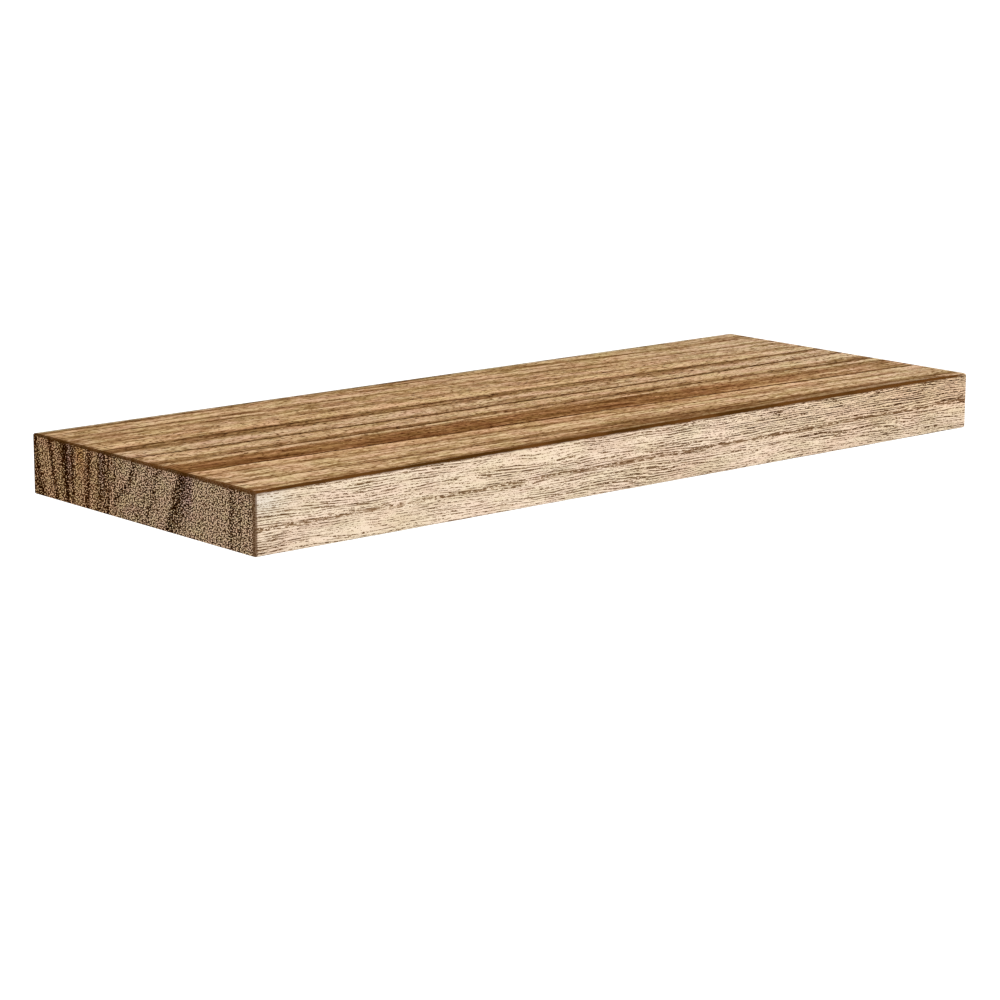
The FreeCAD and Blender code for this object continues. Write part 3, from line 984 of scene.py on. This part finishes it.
SHANK_MM = 1.75
SHANK_LENGTH_MM = 14
THREAD_PITCH_MM = 2.1
THREAD_ROOT_MM = 1.5
THREAD_CREST_MM = 2.25
THREAD_TIP_MM = 6.0
THREAD_PROFILE = [0, 0, 0.08, 0.5, 1.0, 1.0, 0.5, 0.08]
# Corners nearer than this are one.
MERGE_MM = 0.002
# The least angle in degrees that shows as an edge on a screw or an anchor.
FIXING_ANGLE = 35


def add_thread(mesh, centre, start, end, segments):
    """A screw thread along Y whose rows follow its helix, run in from the shank and out to a point."""
    rows = len(THREAD_PROFILE)
    turns = math.ceil((end - start) / THREAD_PITCH_MM)
    grid = {}

    def corner(row, step):
        if step == segments:
            row, step = row + rows, 0
        if (row, step) not in grid:
            turn = row / rows + step / segments - 1
            y = min(max(start + turn * THREAD_PITCH_MM, start), end)
            run_in = min(1.0, (y - start) / (THREAD_PITCH_MM * 1.5))
            taper = min(1.0, (end - y) / THREAD_TIP_MM)
            height = THREAD_CREST_MM - THREAD_ROOT_MM
            ridge = height * THREAD_PROFILE[row % rows] * run_in * taper ** 0.7
            core = SHANK_MM + (THREAD_ROOT_MM - SHANK_MM) * run_in
            radius = core * taper ** 0.8 + ridge
            angle = 2 * math.pi * step / segments
            place = (centre[0] + radius * math.cos(angle), y, centre[1] + radius * math.sin(angle))
            grid[row, step] = mesh.verts.new(Vector(place) * MM)
        return grid[row, step]

    for row in range(rows * (turns + 1)):
        for step in range(segments):
            mesh.faces.new((corner(row, step), corner(row, step + 1),
                            corner(row + 1, step + 1), corner(row + 1, step)))


def make_cross_cutters(name, centre, profiles):
    """Two crossing prisms: each profile is the corners of one end, as (across, y, aside)."""
    cutters = []
    for turned in (False, True):
        loops = []
        for profile in profiles:
            turns = [(-aside, y, across) if turned else (across, y, aside) for across, y, aside in profile]
            loops.append([(centre[0] + x, y, centre[1] + z) for x, y, z in turns])
        cutters.append(make_prism(name, loops))
    return cutters


def make_drive_cutters(centre, top):
    """A cross drive: two crossing tapered arms and a small cone at their middle."""
    profiles = []
    for y, reach, width in ((top - 0.5, 2.55, 0.56), (top + 2.0, 1.15, 0.34)):
        profiles.append([(-reach, y, -width), (reach, y, -width), (reach, y, width), (-reach, y, width)])
    cone = [(0, top - 0.5), (1.25, top - 0.5), (0.75, top + 1.9), (0, top + 2.4)]
    arms = make_cross_cutters("drive_cutter", centre, profiles)
    return arms + [make_turned("drive_cone_cutter", cone, 24, centre)]


def make_screw(side, place, material):
    """A countersunk wood screw: rounded rim, cross drive, plain shank and a rolled thread."""
    node = f"{side}_{place}_screw"
    low, high, centre, head = round_box_mm(node)
    top = low.y
    segments = 40
    neck = top + head - SHANK_MM
    thread_start = top + SHANK_LENGTH_MM
    outline = [(0, top), (head - 0.5, top), (head - 0.12, top + 0.1), (head - 0.02, top + 0.3),
               (SHANK_MM + 0.3, neck), (SHANK_MM, neck + 0.6), (SHANK_MM, thread_start)]
    mesh = bmesh.new()
    add_turned_faces(mesh, outline, segments, centre)
    add_thread(mesh, centre, thread_start, high.y, segments)
    bmesh.ops.remove_doubles(mesh, verts=mesh.verts, dist=MERGE_MM * MM)
    bmesh.ops.recalc_face_normals(mesh, faces=mesh.faces)
    piece = to_object(f"{node}_threaded", mesh, FIXING_ANGLE)
    cut(piece, make_drive_cutters(centre, top), FIXING_ANGLE)
    place_piece(piece, node, material)


BORE_RADIUS_MM = 2.3
COLLAR_LENGTH_MM = 12.0
BARBS = 5
SLOT_START_MM = 14.6
SLOT_WIDTH_MM = 1.2
SLOT_REACH_MM = 6


def make_slot_cutters(centre, end):
    """Two crossing slots that open towards the far end and start round."""
    half = SLOT_WIDTH_MM / 2
    rim = [(end, -half), (end, half)]
    for step in range(9):
        angle = math.pi * step / 8
        rim.append((SLOT_START_MM - half * math.sin(angle), half * math.cos(angle)))
    profiles = [[(reach, y, aside) for y, aside in rim] for reach in (-SLOT_REACH_MM, SLOT_REACH_MM)]
    return make_cross_cutters("slot_cutter", centre, profiles)


def make_anchor(side, place, material):
    """A nylon plug: chamfered collar with a lip, then four barbed legs parted by rounded slots."""
    node = f"{side}_{place}_anchor"
    _, high, centre, radius = round_box_mm(node)
    bore = BORE_RADIUS_MM
    collar = COLLAR_LENGTH_MM
    length = high.y
    outline = [(bore + 0.2, 0), (radius - 0.15, 0), (radius, 0.15), (radius, 1.2), (radius - 0.12, 1.5),
               (radius - 0.12, collar - 0.4), (radius - 0.35, collar)]
    pitch = (length - 3 - collar) / BARBS
    for barb in range(BARBS):
        start = collar + pitch * barb
        outline += [(radius - 0.5, start + 0.35), (radius - 0.2, start + pitch - 0.7),
                    (radius - 0.12, start + pitch - 0.45), (radius - 0.2, start + pitch - 0.2),
                    (radius - 0.46, start + pitch)]
    outline += [(bore + 1.0, length - 1.2), (bore + 0.75, length - 0.3), (bore + 0.5, length),
                (bore + 0.1, length), (bore, length - 0.2), (bore, 0.3)]
    piece = make_turned(f"{node}_plug", outline, 64, centre, closed=True, smooth_angle=FIXING_ANGLE)
    cut(piece, make_slot_cutters(centre, length + 1), FIXING_ANGLE)
    place_piece(piece, node, material)


def dress_cad_node(node, material):
    """Give a carried-over CAD piece its material."""
    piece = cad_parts[node]
    piece.data.materials.clear()
    piece.data.materials.append(material)


def make_brackets():
    plate = make_plate_zinc()
    rod = make_rod_zinc()
    weld = make_weld_zinc()
    screw = make_screw_zinc()
    nylon = make_nylon()
    for side in SIDES:
        dress_cad_node(f"{side}_bracket_plate", plate)
        dress_cad_node(f"{side}_rod", rod)
        make_weld(side, weld)
        for place in PLACES:
            make_screw(side, place, screw)
            make_anchor(side, place, nylon)


# ---- studio ----

# The camera's place in metres and its angles in degrees.
CAMERA_PLACE = (-1.2956, -1.5710, 0.3723)
CAMERA_HEADING = 41.156
CAMERA_PITCH = 12.133
CAMERA_ROLL = 0.184
SENSOR_MM = 36.0
LENS_MM = 109.3
FLOOR_HEIGHT = -1.35
FLOOR_REACH = 60
FLOOR_SHADE = (0.8, 0.8, 0.8, 1)
FLOOR_GLOW = 0.8
WHITE = (1, 1, 1, 1)
WORLD_STRENGTH = 0.62
# Where each lamp is, how wide it is and its power in watts.
LAMPS = {
    "key": ((0.7, -2.2, 1.7), 1.4, 45),
    "fill": ((-1.6, 1.6, 1.6), 1.8, 14),
}
LAMP_AIM = Vector((0, -0.11, 0))


def make_camera():
    data = bpy.data.cameras.new("camera")
    data.sensor_width = SENSOR_MM
    data.lens = LENS_MM
    camera = bpy.data.objects.new("camera", data)
    bpy.context.scene.collection.objects.link(camera)
    turn = Matrix.Rotation(math.radians(-CAMERA_HEADING), 4, "Z")
    tilt = Matrix.Rotation(math.radians(90 - CAMERA_PITCH), 4, "X")
    roll = Matrix.Rotation(math.radians(CAMERA_ROLL), 4, "Z")
    camera.matrix_world = Matrix.Translation(CAMERA_PLACE) @ turn @ tilt @ roll
    bpy.context.scene.camera = camera


def add_background_switch(tree, unseen, seen, socket):
    """Feed a socket one value for light and one for rays from the camera, in gloss and through glass."""
    path = tree.nodes.new("ShaderNodeLightPath")
    ray = path.outputs["Is Camera Ray"]
    for name in ("Is Glossy Ray", "Is Transmission Ray"):
        either = tree.nodes.new("ShaderNodeMath")
        either.operation = "MAXIMUM"
        tree.links.new(ray, either.inputs[0])
        tree.links.new(path.outputs[name], either.inputs[1])
        ray = either.outputs[0]
    switch = tree.nodes.new("ShaderNodeMapRange")
    tree.links.new(ray, switch.inputs["Value"])
    switch.inputs["To Min"].default_value = unseen
    switch.inputs["To Max"].default_value = seen
    tree.links.new(switch.outputs["Result"], socket)


def make_world():
    """White to the camera, softer as a light."""
    world = bpy.data.worlds.new("studio")
    bpy.context.scene.world = world
    world.use_nodes = True
    background = world.node_tree.nodes["Background"]
    background.inputs["Color"].default_value = WHITE
    add_background_switch(world.node_tree, WORLD_STRENGTH, 1.0, background.inputs["Strength"])


def make_floor():
    """A pale floor: its own shading gives the shadow, and a little light of its own makes it white."""
    mesh = bmesh.new()
    corners = [(-1, -1), (1, -1), (1, 1), (-1, 1)]
    mesh.faces.new([mesh.verts.new((x * FLOOR_REACH, y * FLOOR_REACH, FLOOR_HEIGHT)) for x, y in corners])
    floor = to_object("floor", mesh)
    material = bpy.data.materials.new("pale_floor")
    material.use_nodes = True
    shader = material.node_tree.nodes["Principled BSDF"]
    shader.inputs["Base Color"].default_value = FLOOR_SHADE
    shader.inputs["Roughness"].default_value = 0.9
    shader.inputs["Specular IOR Level"].default_value = 0.0
    shader.inputs["Emission Color"].default_value = WHITE
    add_background_switch(material.node_tree, 0.0, FLOOR_GLOW, shader.inputs["Emission Strength"])
    floor.data.materials.append(material)


def make_lamp(name, place, size, power):
    data = bpy.data.lights.new(name, "AREA")
    data.shape = "DISK"
    data.size = size
    data.energy = power
    lamp = bpy.data.objects.new(name, data)
    bpy.context.scene.collection.objects.link(lamp)
    lamp.location = place
    lamp.rotation_euler = (LAMP_AIM - Vector(place)).to_track_quat("-Z", "Y").to_euler()


def make_studio():
    make_camera()
    make_world()
    make_floor()
    for name, (place, size, power) in LAMPS.items():
        make_lamp(name, place, size, power)


bpy.context.scene.view_settings.view_transform = "Standard"
make_studio()
make_staves(make_wood())
make_brackets()
